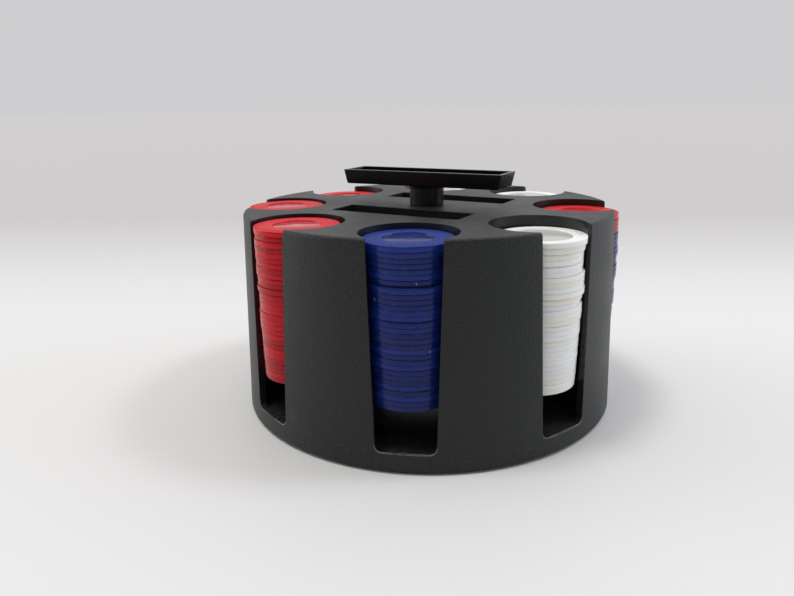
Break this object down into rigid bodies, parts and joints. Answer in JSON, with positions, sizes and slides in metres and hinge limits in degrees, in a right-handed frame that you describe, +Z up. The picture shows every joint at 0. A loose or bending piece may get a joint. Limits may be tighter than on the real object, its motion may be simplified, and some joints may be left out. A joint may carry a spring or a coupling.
{
  "type": "poker chip carousel",
  "caption": "Round revolving rack with chip wells round its rim, two upright card slots and a T-handle on top, on a low recessed base.",
  "frame": {"origin": "on the turning axis at table level, the middle of the bottom of the bounding box", "axes": "+Z up along the turning axis; +X along the two card slots; chip wells are 45 degrees apart, the first at -67.5 degrees from +X"},
  "size_m": [0.1884, 0.1884, 0.1154],
  "materials": {
    "drum_black": "fine pebbled moulding texture, satin",
    "base_black": "plain satin moulding",
    "handle_black": "smooth, low gloss",
    "chip_red": "polished moulding with scuffed edges",
    "chip_blue": "polished moulding with scuffed edges",
    "chip_white": "polished moulding, some chips yellowed",
    "steel": "zinc plated, turned",
    "brass": "machined",
    "rubber": "matt",
    "nylon": "waxy, natural"
  },
  "bodies": {
    "base": {"turntable_base": "base_black", "runner_ring": "nylon", "hub_washer": "steel", "rubber_foot_1": "rubber", "rubber_foot_2": "rubber", "rubber_foot_3": "rubber", "rubber_foot_4": "rubber"},
    "drum": {"drum": "drum_black"},
    "handle": {"handle_bar": "handle_black", "handle_post": "handle_black", "thread_insert": "brass", "centre_bolt": "steel", "bolt_washer": "steel"},
    "chips_1": {"chips_1_blue": "chip_blue"},
    "top_chip_1": {"top_chip_1_blue": "chip_blue"},
    "chips_2": {"chips_2_white": "chip_white"},
    "top_chip_2": {"top_chip_2_white": "chip_white"},
    "chips_3": {"chips_3_blue": "chip_blue"},
    "chips_3_upper": {"chips_3_red": "chip_red"},
    "top_chip_3": {"top_chip_3_red": "chip_red"},
    "chips_4": {"chips_4_white": "chip_white"},
    "top_chip_4": {"top_chip_4_white": "chip_white"},
    "chips_5": {"chips_5_white": "chip_white"},
    "top_chip_5": {"top_chip_5_white": "chip_white"},
    "chips_6": {"chips_6_red": "chip_red"},
    "top_chip_6": {"top_chip_6_red": "chip_red"},
    "chips_7": {"chips_7_red": "chip_red"},
    "top_chip_7": {"top_chip_7_red": "chip_red"},
    "chips_8": {"chips_8_red": "chip_red"},
    "top_chip_8": {"top_chip_8_red": "chip_red"}
  },
  "joints": [
    {"name": "drum_spin", "type": "hinge", "parent": "base", "child": "drum", "pos_m": [0, 0, 0.007], "axis": [0, 0, 1], "continuous": true},
    {"name": "handle_twist", "type": "hinge", "parent": "drum", "child": "handle", "pos_m": [0, 0, 0.0984], "axis": [0, 0, 1], "continuous": true},
    {"name": "chips_1_lift", "type": "slide", "parent": "drum", "child": "chips_1", "axis": [0, 0, 1], "range_m": [0, 0.08]},
    {"name": "top_chip_1_lift", "type": "slide", "parent": "chips_1", "child": "top_chip_1", "axis": [0, 0, 1], "range_m": [0, 0.04]},
    {"name": "chips_2_lift", "type": "slide", "parent": "drum", "child": "chips_2", "axis": [0, 0, 1], "range_m": [0, 0.08]},
    {"name": "top_chip_2_lift", "type": "slide", "parent": "chips_2", "child": "top_chip_2", "axis": [0, 0, 1], "range_m": [0, 0.04]},
    {"name": "chips_3_lift", "type": "slide", "parent": "drum", "child": "chips_3", "axis": [0, 0, 1], "range_m": [0, 0.08]},
    {"name": "chips_3_upper_lift", "type": "slide", "parent": "chips_3", "child": "chips_3_upper", "axis": [0, 0, 1], "range_m": [0, 0.04]},
    {"name": "top_chip_3_lift", "type": "slide", "parent": "chips_3_upper", "child": "top_chip_3", "axis": [0, 0, 1], "range_m": [0, 0.04]},
    {"name": "chips_4_lift", "type": "slide", "parent": "drum", "child": "chips_4", "axis": [0, 0, 1], "range_m": [0, 0.08]},
    {"name": "top_chip_4_lift", "type": "slide", "parent": "chips_4", "child": "top_chip_4", "axis": [0, 0, 1], "range_m": [0, 0.04]},
    {"name": "chips_5_lift", "type": "slide", "parent": "drum", "child": "chips_5", "axis": [0, 0, 1], "range_m": [0, 0.08]},
    {"name": "top_chip_5_lift", "type": "slide", "parent": "chips_5", "child": "top_chip_5", "axis": [0, 0, 1], "range_m": [0, 0.04]},
    {"name": "chips_6_lift", "type": "slide", "parent": "drum", "child": "chips_6", "axis": [0, 0, 1], "range_m": [0, 0.08]},
    {"name": "top_chip_6_lift", "type": "slide", "parent": "chips_6", "child": "top_chip_6", "axis": [0, 0, 1], "range_m": [0, 0.04]},
    {"name": "chips_7_lift", "type": "slide", "parent": "drum", "child": "chips_7", "axis": [0, 0, 1], "range_m": [0, 0.08]},
    {"name": "top_chip_7_lift", "type": "slide", "parent": "chips_7", "child": "top_chip_7", "axis": [0, 0, 1], "range_m": [0, 0.04]},
    {"name": "chips_8_lift", "type": "slide", "parent": "drum", "child": "chips_8", "axis": [0, 0, 1], "range_m": [0, 0.08]},
    {"name": "top_chip_8_lift", "type": "slide", "parent": "chips_8", "child": "top_chip_8", "axis": [0, 0, 1], "range_m": [0, 0.04]}
  ]
}
